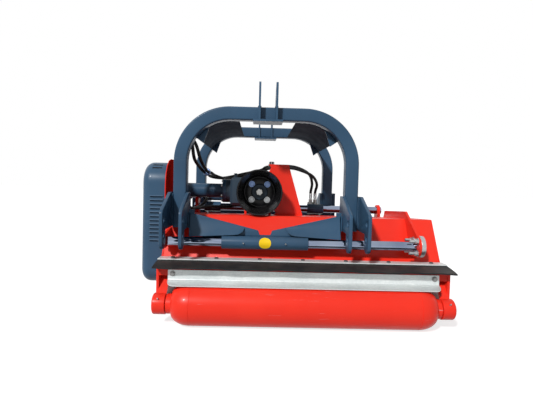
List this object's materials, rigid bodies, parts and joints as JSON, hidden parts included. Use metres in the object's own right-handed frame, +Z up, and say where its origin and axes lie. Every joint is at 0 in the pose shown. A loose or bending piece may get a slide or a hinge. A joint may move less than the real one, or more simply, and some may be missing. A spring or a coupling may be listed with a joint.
{
  "type": "orchard flail mulcher",
  "caption": "Tractor-hung orchard flail mulcher with a sideways-shifting hitch frame, belt-driven flail rotor, rubber flaps, skids and a rear ground roller.",
  "frame": {"origin": "on the ground, under the centre of the machine's bounding box", "axes": "+Z up, +X along the rotor away from the belt drive, -Y towards the roller side"},
  "size_m": [1.5448, 1.2155, 1.147],
  "materials": {
    "red_paint": "glossy red paint",
    "slate_paint": "glossy slate-blue paint",
    "galvanised_steel": "galvanised",
    "chromed_steel": "polished",
    "bare_steel": "machined",
    "black_rubber": "matte",
    "black_plastic": "satin",
    "cast_iron": "rough"
  },
  "bodies": {
    "housing": {"hood_shell": "red_paint", "side_plate_left": "red_paint", "side_plate_right": "red_paint", "skid_left": "red_paint", "skid_right": "red_paint", "counter_blade": "red_paint", "gearbox_base": "red_paint", "gearbox_tower": "red_paint", "gearbox_case": "slate_paint", "output_tube": "slate_paint", "belt_back_plate": "red_paint", "belt_guard": "slate_paint", "drive_belt": "black_rubber", "rotor_bearing_left": "cast_iron", "rotor_bearing_right": "cast_iron", "flap_strip": "galvanised_steel", "rubber_flap": "black_rubber", "intake_strip": "galvanised_steel", "intake_curtain": "black_rubber", "scraper_plate": "galvanised_steel", "scraper_rail": "red_paint", "roller_arm_left": "red_paint", "roller_arm_right": "red_paint", "bar_bracket_left": "red_paint", "bar_bracket_right": "red_paint", "slide_bar_near": "chromed_steel", "slide_bar_flange": "galvanised_steel", "far_bar_block_left": "red_paint", "far_bar_block_right": "red_paint", "slide_bar_far": "chromed_steel", "cylinder_rod": "chromed_steel", "pto_guard": "black_plastic", "guard_clamp": "bare_steel"},
    "headstock": {"hoop_near": "slate_paint", "hoop_far": "slate_paint", "bridge_plate_left": "slate_paint", "bridge_plate_right": "slate_paint", "top_link_bracket_near": "slate_paint", "top_link_bracket_far": "slate_paint", "top_link_pin": "bare_steel", "carriage_near": "slate_paint", "carriage_far": "slate_paint", "cylinder_barrel": "slate_paint", "hose_a": "black_rubber", "hose_b": "black_rubber", "coupling_rack": "bare_steel"},
    "roller": {"ground_roller": "red_paint"},
    "rotor": {"rotor": "red_paint", "rotor_pulley": "cast_iron"},
    "cross_shaft": {"cross_shaft": "bare_steel", "gearbox_pulley": "cast_iron"},
    "input_shaft": {"input_shaft": "bare_steel"},
    "flail_1": {"flail_1": "cast_iron"},
    "flail_2": {"flail_2": "cast_iron"},
    "flail_3": {"flail_3": "cast_iron"},
    "flail_4": {"flail_4": "cast_iron"},
    "flail_5": {"flail_5": "cast_iron"},
    "flail_6": {"flail_6": "cast_iron"},
    "flail_7": {"flail_7": "cast_iron"},
    "flail_8": {"flail_8": "cast_iron"}
  },
  "joints": [
    {"name": "headstock_shift", "type": "slide", "parent": "housing", "child": "headstock", "axis": [1, 0, 0], "range_m": [0, 0.2]},
    {"name": "roller_spin", "type": "hinge", "parent": "housing", "child": "roller", "pos_m": [0.05015, -0.5115, 0.097], "axis": [1, 0, 0], "continuous": true},
    {"name": "rotor_spin", "type": "hinge", "parent": "housing", "child": "rotor", "pos_m": [0.05015, -0.0665, 0.255], "axis": [1, 0, 0], "continuous": true},
    {"name": "cross_shaft_spin", "type": "hinge", "parent": "housing", "child": "cross_shaft", "pos_m": [-0.16685, 0.0035, 0.61], "axis": [1, 0, 0], "continuous": true},
    {"name": "input_shaft_spin", "type": "hinge", "parent": "housing", "child": "input_shaft", "pos_m": [-0.16685, 0.0035, 0.61], "axis": [0, 1, 0], "continuous": true},
    {"name": "flail_1_swing", "type": "hinge", "parent": "rotor", "child": "flail_1", "pos_m": [-0.54285, 0.01482, 0.33632], "axis": [1, 0, 0], "range_deg": [-3, 273]},
    {"name": "flail_2_swing", "type": "hinge", "parent": "rotor", "child": "flail_2", "pos_m": [-0.37342, -0.14782, 0.33632], "axis": [1, 0, 0], "range_deg": [-273, 3]},
    {"name": "flail_3_swing", "type": "hinge", "parent": "rotor", "child": "flail_3", "pos_m": [-0.20399, -0.14782, 0.17368], "axis": [1, 0, 0], "range_deg": [-183, 93]},
    {"name": "flail_4_swing", "type": "hinge", "parent": "rotor", "child": "flail_4", "pos_m": [-0.03456, 0.01482, 0.17368], "axis": [1, 0, 0], "range_deg": [-93, 183]},
    {"name": "flail_5_swing", "type": "hinge", "parent": "rotor", "child": "flail_5", "pos_m": [0.13486, 0.01482, 0.33632], "axis": [1, 0, 0], "range_deg": [-3, 273]},
    {"name": "flail_6_swing", "type": "hinge", "parent": "rotor", "child": "flail_6", "pos_m": [0.30429, -0.14782, 0.33632], "axis": [1, 0, 0], "range_deg": [-273, 3]},
    {"name": "flail_7_swing", "type": "hinge", "parent": "rotor", "child": "flail_7", "pos_m": [0.47372, -0.14782, 0.17368], "axis": [1, 0, 0], "range_deg": [-183, 93]},
    {"name": "flail_8_swing", "type": "hinge", "parent": "rotor", "child": "flail_8", "pos_m": [0.64315, 0.01482, 0.17368], "axis": [1, 0, 0], "range_deg": [-93, 183]}
  ],
  "couplings": [
    {"joint": "cross_shaft_spin", "follows": "rotor_spin", "ratio": 0.80357},
    {"joint": "input_shaft_spin", "follows": "rotor_spin", "ratio": -0.34821}
  ]
}
